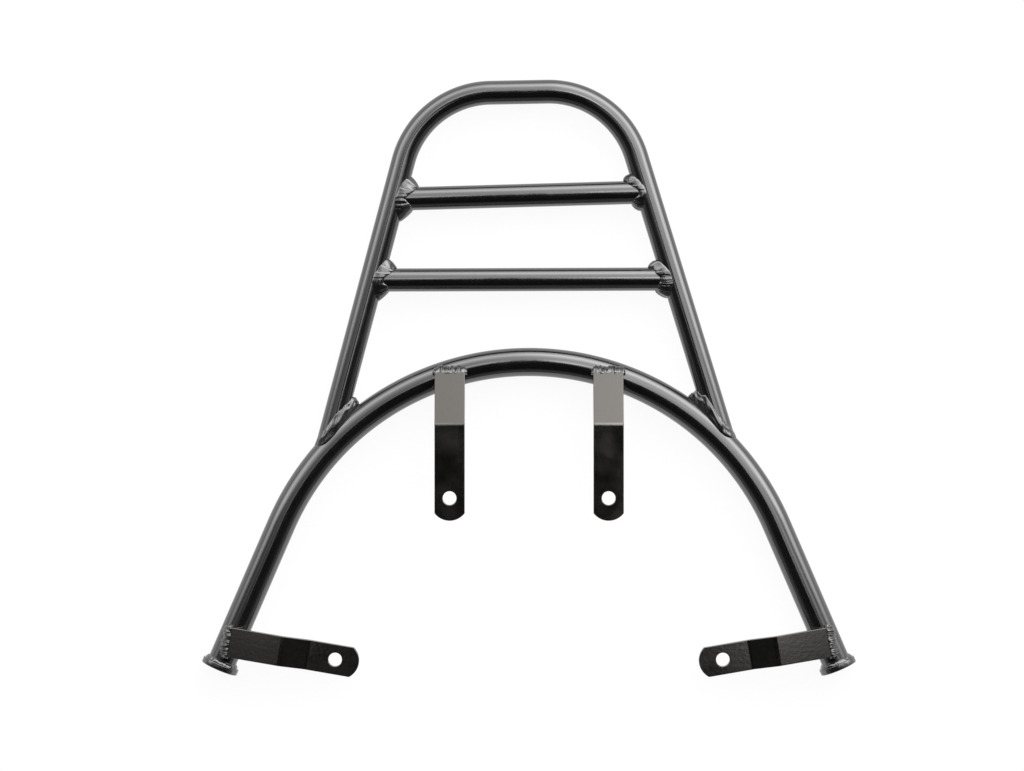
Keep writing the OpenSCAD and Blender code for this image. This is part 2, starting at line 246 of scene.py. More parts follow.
# %% White table and world
TABLE_STEPS, TABLE_WHITE, PAPER_SHARE, PAPER_GLOW = 128, 0.9, 0.92, 1.02
a = np.arange(TABLE_STEPS) * 2 * np.pi / TABLE_STEPS
rim = np.stack([TENT_R * np.cos(a), TENT_R * np.sin(a), np.full(TABLE_STEPS, FLOOR_Z)], -1)
table_mesh = bpy.data.meshes.new("table")
table_mesh.from_pydata(rim, [], [list(range(TABLE_STEPS))])
table = bpy.data.objects.new("table", table_mesh)
scene.collection.objects.link(table)
paper, tree, out = bare_material("white_table")
light_path = tree.nodes.new("ShaderNodeLightPath")
seen = maths(tree, "MAXIMUM", light_path.outputs["Is Camera Ray"], light_path.outputs["Is Glossy Ray"])
seen = maths(tree, "MAXIMUM", seen, light_path.outputs["Is Transmission Ray"])
matte = tree.nodes.new("ShaderNodeBsdfDiffuse")
matte.inputs["Color"].default_value = (TABLE_WHITE, TABLE_WHITE, TABLE_WHITE, 1)
white = tree.nodes.new("ShaderNodeEmission")
white.inputs["Strength"].default_value = PAPER_GLOW
mix = tree.nodes.new("ShaderNodeMixShader")
tree.links.new(maths(tree, "MULTIPLY", seen, PAPER_SHARE), mix.inputs[0])
tree.links.new(matte.outputs[0], mix.inputs[1])
tree.links.new(white.outputs[0], mix.inputs[2])
tree.links.new(mix.outputs[0], out.inputs[0])
table_mesh.materials.append(paper)
world = scene.world or bpy.data.worlds.new("world")
scene.world = world
world.use_nodes = True
world.node_tree.nodes["Background"].inputs["Color"].default_value = (1, 1, 1, 1)
print("table at z = %.1f mm" % (FLOOR_Z / MM))

# %% [markdown]
# ## Gloss black coat
# Every piece wears the same powder coat. Powder melts into a skin with a very fine unevenness,
# which painters call orange peel: it makes the edges of reflections tremble. A picture of it could
# be wrapped round the tubes, but it would stretch in the bends, so it is worked out from noise in
# space. Every coat uses it, so it is a node group with its own inputs and outputs.

# %% Helpers for patterns
def new_group(name, inputs, outputs):
    """An empty shader node group: inputs are (label, socket type, value), outputs (label, type)."""
    group = bpy.data.node_groups.new(name, "ShaderNodeTree")
    for label, kind, value in inputs:
        socket = group.interface.new_socket(label, in_out="INPUT", socket_type=kind)
        if value is not None:
            socket.default_value = value
    for label, kind in outputs:
        group.interface.new_socket(label, in_out="OUTPUT", socket_type=kind)
    return group, group.nodes.new("NodeGroupInput"), group.nodes.new("NodeGroupOutput")

def noise(tree, vector, scale, detail=2.0, rough=0.5):
    """A noise texture of this scale on a vector socket; gives its Fac output."""
    node = tree.nodes.new("ShaderNodeTexNoise")
    node.inputs["Scale"].default_value = scale
    node.inputs["Detail"].default_value = detail
    node.inputs["Roughness"].default_value = rough
    tree.links.new(vector, node.inputs["Vector"])
    return node.outputs["Fac"]

def ramp(tree, value, low, high, to_low=0.0, to_high=1.0):
    """Maps value from low..high to to_low..to_high, clamped."""
    node = tree.nodes.new("ShaderNodeMapRange")
    for key, v in zip(("From Min", "From Max", "To Min", "To Max"), (low, high, to_low, to_high)):
        node.inputs[key].default_value = v
    tree.links.new(value, node.inputs["Value"])
    return node.outputs["Result"]

# %% Orange peel, shared by every coat
peel_inputs = [("Vector", "NodeSocketVector", None), ("Depth", "NodeSocketFloat", 1.0)]
peel_outputs = [("Height", "NodeSocketFloat"), ("Gloss", "NodeSocketFloat")]
peel_group, gi, go = new_group("orange_peel", peel_inputs, peel_outputs)
coarse = noise(peel_group, gi.outputs["Vector"], 420.0, 1.0)
fine = noise(peel_group, gi.outputs["Vector"], 1500.0, 2.0)
height = maths(peel_group, "ADD", coarse, maths(peel_group, "MULTIPLY", fine, 0.3))
peel_group.links.new(maths(peel_group, "MULTIPLY", height, gi.outputs["Depth"]), go.inputs["Height"])
patch = noise(peel_group, gi.outputs["Vector"], 45.0, 4.0, 0.6)
peel_group.links.new(patch, go.inputs["Gloss"])
print("group orange_peel with", len(peel_group.nodes), "nodes")

# %% [markdown]
# Under the coat the steel differs, and shows through a little: drawn tube has faint lines along it,
# flat bar has mill marks, and a weld has grit. One group can make all three: noise that is stretched
# along the piece by one number and packed across it by another.

# %% Steel marks under the coat
mark_inputs = [("Vector", "NodeSocketVector", None), ("Along", "NodeSocketFloat", 6.0),
               ("Across", "NodeSocketFloat", 60.0)]
mark_outputs = [("Height", "NodeSocketFloat"), ("Mask", "NodeSocketFloat")]
mark_group, gi, go = new_group("steel_marks", mark_inputs, mark_outputs)
stretch = mark_group.nodes.new("ShaderNodeCombineXYZ")
mark_group.links.new(gi.outputs["Along"], stretch.inputs[0])
mark_group.links.new(gi.outputs["Across"], stretch.inputs[1])
mark_group.links.new(gi.outputs["Across"], stretch.inputs[2])
scaled = mark_group.nodes.new("ShaderNodeVectorMath")
scaled.operation = "MULTIPLY"
mark_group.links.new(gi.outputs["Vector"], scaled.inputs[0])
mark_group.links.new(stretch.outputs[0], scaled.inputs[1])
lines = noise(mark_group, scaled.outputs[0], 1.0, 3.0, 0.6)
mark_group.links.new(lines, go.inputs["Height"])
mark_group.links.new(ramp(mark_group, lines, 0.35, 0.65), go.inputs["Mask"])
print("group steel_marks with", len(mark_group.nodes), "nodes")

# %% [markdown]
# The coat itself is almost black. A clear coat over dull paint could give the gloss, but powder is
# one hard, glassy skin, so a high index of refraction on the shader does it. Base colour runs
# between two blacks, and roughness and bump follow the groups. The tubes take their marks from a UV
# map that runs along the piece, because the lines follow the bends.

# %% One coat material per kind of piece
COAT_IOR, BUMP_DEPTH, GLOSSIER, DULLER = 2.0, 0.1 * MM, 0.04, 0.06
NEUTRAL, WARM = (1.0, 1.0, 1.0), (1.0, 0.94, 0.88)

def use_group(tree, group, vector, **values):
    """Places a node group on this vector with its own values; gives its outputs."""
    node = tree.nodes.new("ShaderNodeGroup")
    node.node_tree = group
    tree.links.new(vector, node.inputs["Vector"])
    for label, value in values.items():
        node.inputs[label].default_value = value
    return node.outputs

def coat(name, colour, pale, rough, along, across, peel=0.10, lines=0.05, uv=None, tint=NEUTRAL):
    """Base colour = colour to pale by patch * mark; roughness = rough -0.04 to +0.06 by patch;
    bump height = orange peel + marks * lines."""
    material = bpy.data.materials.new(name)
    material.use_nodes = True
    tree = material.node_tree
    shader = tree.nodes["Principled BSDF"]
    place = tree.nodes.new("ShaderNodeTexCoord").outputs["Object"]
    mark_place = place
    if uv:
        own = tree.nodes.new("ShaderNodeUVMap")
        own.uv_map = uv
        mark_place = own.outputs["UV"]
    skin = use_group(tree, peel_group, place, Depth=peel)
    steel = use_group(tree, mark_group, mark_place, Along=along, Across=across)
    blend = tree.nodes.new("ShaderNodeMix")
    blend.data_type = "RGBA"
    blend.inputs["A"].default_value = (*colour, 1)
    blend.inputs["B"].default_value = (*pale, 1)
    tree.links.new(maths(tree, "MULTIPLY", skin["Gloss"], steel["Mask"]), blend.inputs["Factor"])
    tree.links.new(blend.outputs["Result"], shader.inputs["Base Color"])
    gloss = ramp(tree, skin["Gloss"], 0.3, 0.7, rough - GLOSSIER, rough + DULLER)
    tree.links.new(gloss, shader.inputs["Roughness"])
    height = maths(tree, "ADD", skin["Height"], maths(tree, "MULTIPLY", steel["Height"], lines))
    bump = tree.nodes.new("ShaderNodeBump")
    bump.inputs["Strength"].default_value = 1.0
    bump.inputs["Distance"].default_value = BUMP_DEPTH
    tree.links.new(height, bump.inputs["Height"])
    tree.links.new(bump.outputs["Normal"], shader.inputs["Normal"])
    shader.inputs["IOR"].default_value = COAT_IOR
    shader.inputs["Specular Tint"].default_value = (*tint, 1)
    print("material", name)
    return material

# %% Coats of the tubes, straps, discs and welds
def grey(v):
    """The same value in all three channels."""
    return (v, v, v)

coats = {slot: coat(slot, grey(0.0035), grey(0.008), 0.10, 4.0, 60.0, uv="along")
         for slot in ("arch_coat", "loop_coat", "bar_coat")}
coats["strap_coat"] = coat("strap_coat", grey(0.0025), (0.007, 0.0063, 0.006), 0.09, 90.0, 500.0,
                           peel=0.13, lines=0.07, tint=WARM)
coats["disc_coat"] = coat("disc_coat", grey(0.005), grey(0.02), 0.14, 500.0, 900.0, peel=0.15, lines=0.3)
coats["weld_coat"] = coat("weld_coat", grey(0.005), grey(0.02), 0.11, 900.0, 900.0, peel=0.15, lines=0.3)

# %% [markdown]
# ## Surfaces from grids
# Each new piece is a grid of points: rows along it, columns around it. A curve with a bevel would
# give tubes too, but not the welds or discs, and no control over where the points lie. One helper
# joins neighbouring points with four-sided faces, closes the grid where it runs into itself, and
# caps open ends with one face. It also keeps a UV map, metres along by turns around.

# %% Put a piece in the scene
def add_piece(name, mesh, slot, node):
    """Shades the mesh smooth, gives it its coat, says what it rides on, and hides the CAD node that it
    stands for.
    """
    mesh.polygons.foreach_set("use_smooth", np.full(len(mesh.polygons), True))
    mesh.validate()
    mesh.update()
    mesh.materials.append(coats[slot])
    piece = bpy.data.objects.new(name, mesh)
    scene.collection.objects.link(piece)
    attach(piece, "root")
    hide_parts(node)
    print("%-26s %6d faces" % (name, len(mesh.polygons)))
    return piece

# %% Grid to mesh
def grid_piece(name, points, slot, node, ring=False):
    """Mesh from rows x columns x 3 points. Columns close on themselves; so do the rows of a ring,
    and other pieces get a cap at both ends."""
    rows, cols, _ = points.shape
    index = np.arange(rows * cols).reshape(rows, cols)
    first = index if ring else index[:-1]
    second = np.roll(index, -1, 0) if ring else index[1:]
    quads = np.stack([first, np.roll(first, -1, 1), np.roll(second, -1, 1), second], -1)
    faces = quads.reshape(-1, 4).tolist()
    if not ring:
        faces += [index[0][::-1].tolist(), index[-1].tolist()]
    mesh = bpy.data.meshes.new(name)
    mesh.from_pydata(points.reshape(-1, 3), [], faces)
    steps = np.linalg.norm(np.diff(points, axis=0), axis=2)
    along = np.zeros((rows, cols))
    along[1:] = np.cumsum(steps, axis=0).mean(axis=1)[:, None]
    around = np.broadcast_to(np.arange(cols) / cols, (rows, cols))
    flat = np.stack([along, around], -1).reshape(-1, 2)
    corner = np.empty(len(mesh.loops), dtype=np.int32)
    mesh.loops.foreach_get("vertex_index", corner)
    uv = mesh.uv_layers.new(name="along")
    uv.data.foreach_set("uv", flat[corner].astype(np.float32).ravel())
    return add_piece(name, mesh, slot, node)

# %% Moves shared by the pieces
def lower(points):
    """Lowers points to the tubes' plane."""
    return points + np.array([0, 0, TUBE_Z])

def lean(points):
    """Turns points by the loop's lean about the arch's centre, and lowers them to the plane."""
    c, s = math.cos(LOOP_LEAN), math.sin(LOOP_LEAN)
    x, y = points[..., 0] - arch_centre[0], points[..., 1] - arch_centre[1]
    level = [c * x - s * y + arch_centre[0], s * x + c * y + arch_centre[1], points[..., 2]]
    return lower(np.stack(level, -1))

def mirrored(points, side):
    """The left copy of a grid is its mirror image, with its columns run backwards so that the
    faces still point outwards."""
    if side > 0:
        return points
    return (points * np.array([-1, 1, 1]))[:, ::-1]

SIDES = ((-1, "left"), (1, "right"))
print("the loop leans by %.1f degrees" % math.degrees(LOOP_LEAN))

# %% [markdown]
# ## Tubes
# The arch and the loop are each one length of tube, bent cold on a former, so their centre line is
# straights and arcs in one plane. A circle is carried along that path, square to it. A curve object
# with a round bevel would do this too, but here the rings lie exactly where the arcs begin and end,
# so no highlight kinks.

# %% Path of straights and bends
def straight(p, q, step=2 * MM):
    """Evenly spaced points p + (q - p) t, and the direction at each."""
    n = max(2, int(np.linalg.norm(q - p) / step))
    t = np.linspace(0, 1, n)[:, None]
    return p + (q - p) * t, np.broadcast_to(unit(q - p), (n, 2))

def bend(centre, r, a0, a1, step=1.2 * MM):
    """Points centre + r (cos a, sin a) from angle a0 to a1, with the tangent at each."""
    a = np.linspace(a0, a1, max(8, int(abs(a1 - a0) * r / step)))
    tangent = np.sign(a1 - a0) * np.stack([-np.sin(a), np.cos(a)], -1)
    return centre + r * np.stack([np.cos(a), np.sin(a)], -1), tangent

def join(parts):
    """One path from several, without the doubled points where they meet."""
    keep = [slice(0, None)] + [slice(1, None)] * (len(parts) - 1)
    return tuple(np.concatenate([part[i][k] for part, k in zip(parts, keep)]) for i in range(2))

def tube(path, d, around=96):
    """Ring at each point: point + (d / 2) (cos a) across the path + (d / 2) (sin a) up."""
    points, tangent = path
    a = np.arange(around) * 2 * np.pi / around
    across = np.stack([-tangent[:, 1], tangent[:, 0]], -1)
    xy = points[:, None, :] + (d / 2) * np.cos(a)[None, :, None] * across[:, None, :]
    up = np.broadcast_to((d / 2) * np.sin(a), xy.shape[:2])
    return np.concatenate([xy, up[..., None]], -1)

# %% Arch and loop
FLIP = np.array([-1, 1])
arch_path = join([
    straight(arch_foot, arch_tangent),
    bend(arch_centre, ARCH_R, ARCH_ANGLE, math.pi - ARCH_ANGLE),
    straight(arch_tangent * FLIP, arch_foot * FLIP),
])
loop_foot, loop_end = loop_tangent + loop_leg * loop_dir, np.array([LOOP_HALF, loop_top])
loop_path = join([
    straight(loop_foot, loop_tangent),
    bend(loop_corner, LOOP_R, LOOP_ANGLE, math.pi / 2),
    straight(loop_end, loop_end * FLIP),
    bend(loop_corner * FLIP, LOOP_R, math.pi / 2, math.pi - LOOP_ANGLE),
    straight(loop_tangent * FLIP, loop_foot * FLIP),
])
grid_piece("arch_tube_smooth", lower(tube(arch_path, ARCH_D)), "arch_coat", "arch_tube")
grid_piece("loop_tube_smooth", lean(tube(loop_path, LOOP_D)), "loop_coat", "loop_tube")
for word, (points, _) in (("arch", arch_path), ("loop", loop_path)):
    length = np.linalg.norm(np.diff(points, axis=0), axis=1).sum()
    print("the", word, "takes %.0f mm of tube" % (length / MM))

# %% [markdown]
# The crossbars are straight, and each sits a little crooked in the photograph, as hand-fitted tubes
# do. On the real rack their ends are cut to the curve of the legs. Here they only run on into the
# legs, because the weld covers the seam and nothing of the cut is seen.

# %% Crossbars
BAR_SHORT = 1 * MM

def bar_half(drop):
    """From the middle of a crossbar to the axis of the loop's leg."""
    return loop_tangent[0] + (loop_tangent[1] - loop_top + drop) * math.tan(LOOP_ANGLE)

def crossbar(name, drop, turn):
    """A straight tube that ends just short of both legs' axes, turned a little about its middle."""
    middle = np.array([0, loop_top - drop])
    ends = [middle + s * (bar_half(drop) - BAR_SHORT) * turned(turn) for s in (-1, 1)]
    grid_piece(name + "_smooth", lean(tube(straight(*ends), BAR_D)), "bar_coat", name)

crossbar("upper_crossbar", *UPPER_BAR)
crossbar("lower_crossbar", *LOWER_BAR)

# %% [markdown]
# ## Weld beads
# A fillet weld fills the corner along a seam. A ring of balls could stand for it, as in the CAD
# part, but a real bead is one skin. So at each point of the seam a section runs from one surface
# to the other and swells outwards. The welder moves in small steps, so the bead has a ripple like a
# row of coins pushed over, and its edges wander a little.

# %% Bead along a seam
SECTION_STEPS = 26

def wobble(t, seed, low=2, high=9):
    """A smooth closed wave of mean 0 and size about 1: sines with fixed random phases."""
    rng = np.random.default_rng(seed)
    k = np.arange(low, high)
    wave = np.sin(2 * np.pi * k * t[..., None] + rng.uniform(0, 2 * np.pi, len(k))) / np.sqrt(k)
    return wave.sum(-1) / np.sqrt((0.5 / k).sum())

def bead(seam, end_a, end_b, normal, swell, count, seed, full=1.9, sink=1.2 * MM, ripple=0.45, ridge=0.0):
    """Section at each seam point: p + (a - p) cos^full + (b - p) sin^full + normal * swell * sin.
    The swell carries `count` uneven ripples, curved like coins, and ridges along the seam; the
    section closes inside the metal."""
    s = np.linspace(0, 1, SECTION_STEPS)[None, :, None]
    t = (np.arange(len(seam)) / len(seam))[:, None]
    curve = 0.35 * (2 * s[..., 0] - 1) ** 2
    phase = count * t + curve + 0.35 * wobble(t, seed) + 0.08 * wobble(t, seed + 4, 8, 30)
    coin = np.abs(np.sin(np.pi * phase)) ** 1.1
    lump = coin * (1 + 0.35 * wobble(t, seed + 1, 5, 24))
    streak = np.sin(2 * np.pi * (2.6 * s[..., 0] + 0.30 * wobble(t, seed + 5, 2, 14)))
    height = swell * (1 - 0.62 * ripple + ripple * lump + ridge * streak + 0.12 * wobble(t, seed + 6))
    toe = 0.05 * (lump[:, :1] - 0.6)
    a = seam + (end_a - seam) * (1 + 0.07 * wobble(t, seed + 2) + toe)
    b = seam + (end_b - seam) * (1 + 0.07 * wobble(t, seed + 3) + toe)
    p, n = seam[:, None, :], normal[:, None, :]
    to_a, to_b = np.cos(s * np.pi / 2) ** full, np.sin(s * np.pi / 2) ** full
    face = p + (a[:, None, :] - p) * to_a + (b[:, None, :] - p) * to_b
    face = face + n * (height * np.sin(np.pi * s[..., 0]) - 0.15 * MM)[..., None]
    inside = np.stack([b - normal * sink, seam - normal * 2 * sink, a - normal * sink], 1)
    return np.concatenate([face, inside], 1)[:, ::-1]

print("a bead's section has", SECTION_STEPS + 3, "points")

# %% [markdown]
# The seam of a crossbar is where one cylinder runs into the other, so it can be written down: seen
# from above it is a sharp V. The welder filled that V, and the corners beside the bar most of all.
# In the photograph the four beads differ, so each has its own sizes.

# %% Beads around the crossbars' ends
BAR_WELDS = {
    "upper_bar": (*UPPER_BAR, 10, (6.4, 7.2, 6.6, 1.9), (4.2, 4.6, 5.4, 1.5)),
    "lower_bar": (*LOWER_BAR, 20, (6.2, 7.2, 6.6, 1.9), (5.0, 6.6, 6.2, 1.6)),
}
CREST_UP, CREST_SHORT, CREST_SWELL, FLATTER = 0.6 * MM, 1.8 * MM, 1.15, 0.14

def bar_bead(drop, turn, side, seed, size, rows=300):
    """Seam: x = half - v tan(angle) - sqrt(leg^2 - w^2) / cos(angle) for a point (v, w) of the bar's
    rim. `size` says how far the fillet reaches, in mm: up the leg in the corners, along the bar on
    the crest, along the bar in the corners; then how hollow it is. On the crest it climbs almost to
    the leg's top line, which fills the V."""
    corner, crest, beside, full = size
    half, leg_r = bar_half(drop), LOOP_D / 2
    a = np.arange(rows) * 2 * np.pi / rows
    v, w = BAR_D / 2 * np.cos(a), BAR_D / 2 * np.sin(a)
    from_axis = np.sqrt(leg_r ** 2 - w ** 2)
    x = half - v * math.tan(LOOP_ANGLE) - from_axis / math.cos(LOOP_ANGLE)
    seam = np.stack([x, v, w], -1)
    bar_n = np.stack([0 * a, np.cos(a), np.sin(a)], -1)
    axis = np.array([*loop_dir, 0])

    def on_leg(p):
        """Nearest point of the leg's surface, and the normal there."""
        rel = p - np.array([half, 0, 0])
        radial = rel - (rel @ axis)[:, None] * axis
        return p - radial + unit(radial) * leg_r, unit(radial)

    in_corner = np.cos(a)[:, None] ** 2
    inwards = np.array([1.0, 0, 0])
    end_a = seam - inwards * (crest + (beside - crest) * in_corner) * MM
    climb = (CREST_UP + from_axis[:, None] - CREST_SHORT) * (1 - in_corner)
    end_b = on_leg(seam + bar_n * (CREST_UP + corner * MM * in_corner) + inwards * climb)[0]
    swell = (CREST_SWELL - FLATTER * (corner - 2.2) * in_corner) * MM
    normal = unit(bar_n + on_leg(seam)[1])
    section = bead(seam, end_a, end_b, normal, swell, 11, seed, full=full, ripple=0.26)
    return mirrored(section, side) + np.array([0, loop_top - drop + side * half * math.sin(turn), 0])

for name, (drop, turn, seed, *sizes) in BAR_WELDS.items():
    for (side, word), size in zip(SIDES, sizes):
        points = lean(bar_bead(drop, turn, side, seed + 5 * side, size))
        grid_piece(f"{name}_bead_{word}", points, "weld_coat", f"{name}_weld_{word}", ring=True)

# %% [markdown]
# The loop's leg runs into the arch at a slant, and the arch is curved, so this seam has no short
# formula. A boolean could cut it out of the meshes, but would leave ragged triangles. Instead each
# line of the leg is followed until it meets the arch's tube, at the distance where a slice of the
# tube at that height has its outer edge.

# %% Beads where the loop stands on the arch
TOE_BESIDE, TOE_SHARP, TOE_OUTSIDE = 17.0, 9.5, 3.6
SPREAD, SPREAD_SHARP, SLIDE_SHARP = 1.3, 1.1, 8.0
LOOP_SWELL, LOOP_FLATTER = 1.1, 0.75

def on_arch(p):
    """Nearest point of the arch's tube, and the normal there."""
    radial = unit(p[:, :2] - arch_centre)
    middle = np.concatenate([arch_centre + ARCH_R * radial, 0 * p[:, 2:]], 1)
    n = unit(p - middle)
    return middle + n * ARCH_D / 2, n

def loop_bead(side, seed, rows=420):
    """Seam: start + far * leg, where far reaches the circle of radius ARCH_R + sqrt(tube^2 - z^2).
    The fillet runs far up the leg beside it, less in the sharp corner, least on the outside."""
    a = np.arange(rows) * 2 * np.pi / rows
    z = LOOP_D / 2 * np.sin(a)
    start = loop_tangent + (LOOP_D / 2 * np.cos(a))[:, None] * loop_across
    far = reach(start - arch_centre, loop_dir, ARCH_R + np.sqrt((ARCH_D / 2) ** 2 - z ** 2))
    seam = np.concatenate([start + far[:, None] * loop_dir, z[:, None]], 1)
    leg_n = np.concatenate([np.cos(a)[:, None] * loop_across, np.sin(a)[:, None]], 1)
    arch_n = on_arch(seam)[1]
    sharp, outside = ((1 - np.cos(a)) / 2)[:, None] ** 6, ((1 + np.cos(a)) / 2)[:, None] ** 3
    up_leg = -np.array([*loop_dir, 0])
    away = np.cross(np.roll(seam, -1, 0) - np.roll(seam, 1, 0), arch_n)
    away = unit(away * np.sign(np.sum(away * leg_n, 1))[:, None])
    toe = TOE_BESIDE - (TOE_BESIDE - TOE_SHARP) * sharp - (TOE_BESIDE - TOE_OUTSIDE) * outside
    end_a = seam + up_leg * toe * MM
    slide = away * (SPREAD + SPREAD_SHARP * sharp) + up_leg * SLIDE_SHARP * sharp
    end_b = on_arch(seam + slide * MM)[0]
    swell = (LOOP_SWELL - LOOP_FLATTER * outside) * MM
    section = bead(seam, end_a, end_b, unit(leg_n + arch_n), swell, 14, seed, ripple=0.22, ridge=0.15)
    return mirrored(section, side)

for side, word in SIDES:
    points = lean(loop_bead(side, 40 + side))
    grid_piece(f"loop_bead_{word}", points, "weld_coat", f"loop_weld_{word}", ring=True)

# %% [markdown]
# ## Straps
# A strap is flat bar, sawn, drilled and bent cold. A box could be cut and bent with modifiers, but
# the hole's rim would turn ragged. It is made as the smith makes it: drawn flat first, as a sheet
# with a round tip and a hole, then each point is carried along the bent line of its side view.
# Solidify gives it its thickness, and Bevel takes the sharpness off its edges, as the coat does.

# %% Flat strap with a round tip and a hole
PLATE_STEP, PLATE_COLS, RING_STEPS, TIP_STEPS = 0.6 * MM, 17, 12, 31
RINGS_FROM = 1.35 * STRAP_W / 2

def strap_outline(length, tip, across):
    """Closed line round the hole's end: the plate's last row, one side, the tip's arc, the other."""
    near, half = length - RINGS_FROM, STRAP_W / 2
    arc_centre, corner = length + tip - TIP_R, math.asin(half / TIP_R)
    arc = np.linspace(corner, -corner, TIP_STEPS)
    along = np.linspace(near, arc_centre + TIP_R * math.cos(corner), 15)[1:-1]
    row = np.stack([np.full_like(across, near), across], -1)
    edge = np.stack([along, np.full_like(along, half)], -1)
    cap = np.stack([arc_centre + TIP_R * np.cos(arc), TIP_R * np.sin(arc)], -1)
    return np.concatenate([row, edge, cap, edge[::-1] * [1, -1]])

def strap_sheet(length, tip):
    """Points (along, across) and faces: a plate from the weld to near the hole, then rings
    outline + (rim - outline) t, from the outline in to the hole's rim."""
    near = length - RINGS_FROM
    across = np.linspace(-STRAP_W / 2, STRAP_W / 2, PLATE_COLS)
    along = np.linspace(0, near, int(near / PLATE_STEP) + 1)
    plate = np.stack(np.meshgrid(along, across, indexing="ij"), -1)
    outline = strap_outline(length, tip, across)
    hole = np.array([length, 0.0])
    rim = hole + HOLE_R * unit(outline - hole)
    t = np.linspace(0, 1, RING_STEPS)[1:, None, None]
    rings = outline + (rim - outline) * t
    flat = np.concatenate([plate.reshape(-1, 2), outline[PLATE_COLS:], rings.reshape(-1, 2)])
    grid = np.arange(plate.size // 2).reshape(plate.shape[:2])
    rest = np.arange(grid.size, len(flat))
    beyond = len(outline) - PLATE_COLS
    first = np.concatenate([grid[-1], rest[:beyond]])
    ring = np.concatenate([first[None], rest[beyond:].reshape(-1, len(outline))])
    r0, r1 = ring[:-1], ring[1:]
    plate_faces = np.stack([grid[:-1, :-1], grid[1:, :-1], grid[1:, 1:], grid[:-1, 1:]], -1)
    ring_faces = np.stack([r0, r1, np.roll(r1, -1, 1), np.roll(r0, -1, 1)], -1)
    return flat, np.concatenate([plate_faces.reshape(-1, 4), ring_faces.reshape(-1, 4)])

# %% Bent line of the side view
LINE_STEP, PAD_RUN = 0.05 * MM, 100 * MM

def bent_line(parts, heading=0.0):
    """Walks (length, turn) parts in small steps: x and z add up cos and sin of the heading. Gives
    the distance walked, x and z at each step."""
    angles = []
    for length, turn in parts:
        steps = max(1, round(length / LINE_STEP))
        angles.append(heading + turn * (np.arange(steps) + 0.5) / steps)
        heading += turn
    angle = np.concatenate(angles)
    x = np.concatenate([[0], np.cumsum(np.cos(angle) * LINE_STEP)])
    z = np.concatenate([[0], np.cumsum(np.sin(angle) * LINE_STEP)])
    return np.arange(len(x)) * LINE_STEP, x, z

def strap_shape(line, hole_x, tip):
    """Bends a flat strap along the line so that its hole comes at hole_x: points and faces."""
    walked, x, z = line
    flat, faces = strap_sheet(float(np.interp(hole_x, x, walked)), tip)
    bent = [np.interp(flat[:, 0], walked, x), flat[:, 1], np.interp(flat[:, 0], walked, z)]
    return np.stack(bent, -1), faces

def finish_strap(name, points, faces, node):
    """Thickens the bent sheet on both sides and rounds its edges."""
    mesh = bpy.data.meshes.new(name)
    mesh.from_pydata(points, [], faces.tolist())
    piece = add_piece(name, mesh, "strap_coat", node)
    thick = piece.modifiers.new("thickness", "SOLIDIFY")
    thick.thickness, thick.offset = STRAP_T, 0.0
    rounded = piece.modifiers.new("edges", "BEVEL")
    rounded.width, rounded.segments, rounded.limit_method = 0.5 * MM, 3, "ANGLE"
    rounded.angle_limit, rounded.harden_normals = math.radians(40), True

# %% [markdown]
# The two upper straps rise from the crest of the arch and then lie level, so they have one gentle
# bend. It is drawn once, from the weld to the bolt hole, and placed twice.

# %% Upper straps
half_t = STRAP_T / 2
rise_line = bent_line([(upper_leg, 0.0), (BEND_R * UPPER_RISE, -UPPER_RISE), (PAD_RUN, 0.0)], UPPER_RISE)
rise_start = upper_end_y + half_t * math.sin(UPPER_RISE)
rise_points, rise_faces = strap_shape(rise_line, rise_start, UPPER_TIP)

def place_upper(p, side):
    """The strap runs towards -Y from the arch's crest, on top of the tube."""
    z = p[:, 2] + ARCH_D / 2 + half_t * math.cos(UPPER_RISE)
    return lower(np.stack([side * (UPPER_X + p[:, 1]), rise_start - p[:, 0], z], -1))

# %% [markdown]
# The two lower straps run inwards from the arch's legs and step down, so that their pads lie lower.
# The step was pressed in one stroke, so its two bends are tighter than the upper straps' one. Their
# corners stay where the CAD part has them.

# %% Lower straps
step_flat = (STEP_DROP - 2 * STEP_R * (1 - math.cos(STEP_ANGLE))) / math.sin(STEP_ANGLE)
step_run = 2 * STEP_R * math.sin(STEP_ANGLE) + step_flat * math.cos(STEP_ANGLE)
step_near = STEP_NEAR + (BEND_R - STEP_R) * math.tan(STEP_ANGLE / 2)
step_start, step_arc = lower_len - step_near - step_run, STEP_R * STEP_ANGLE
step_line = bent_line([(step_start, 0.0), (step_arc, -STEP_ANGLE), (step_flat, 0.0),
                       (step_arc, STEP_ANGLE), (PAD_RUN, 0.0)])
step_points, step_faces = strap_shape(step_line, lower_len, LOWER_TIP)
print("step from %.1f to %.1f mm past the weld" % (step_start / MM, (step_start + step_run) / MM))

def along_lower(along, across):
    """A place in the lower strap's own plane, seen from above: inwards from the leg, and across."""
    return lower_end - along * lower_dir + across * np.array([lower_dir[1], -lower_dir[0]])

def place_lower(p, side):
    """The strap runs from the arch's leg inwards, sloping, on top of the tube."""
    xy = along_lower(p[:, :1], p[:, 1:2]) * [side, 1]
    return lower(np.concatenate([xy, p[:, 2:] + ARCH_D / 2 + half_t], 1))

for side, word in SIDES:
    turn_over = slice(None, None, side)
    upper_name, lower_name = f"upper_strap_{word}", f"lower_strap_{word}"
    finish_strap(upper_name + "_bent", place_upper(rise_points, side), rise_faces[:, turn_over], upper_name)
    finish_strap(lower_name + "_bent", place_lower(step_points, side), step_faces[:, turn_over], lower_name)

# %% [markdown]
# ## End discs
# Each leg of the arch is closed by a flat disc, cut from plate. A cylinder with a bevel would do,
# but turning a profile, as on a lathe, gives round edges with points just where they are needed:
# the profile goes once round the leg's axis.

# %% Discs that close the arch's legs
DISC_EDGE = 0.5 * MM

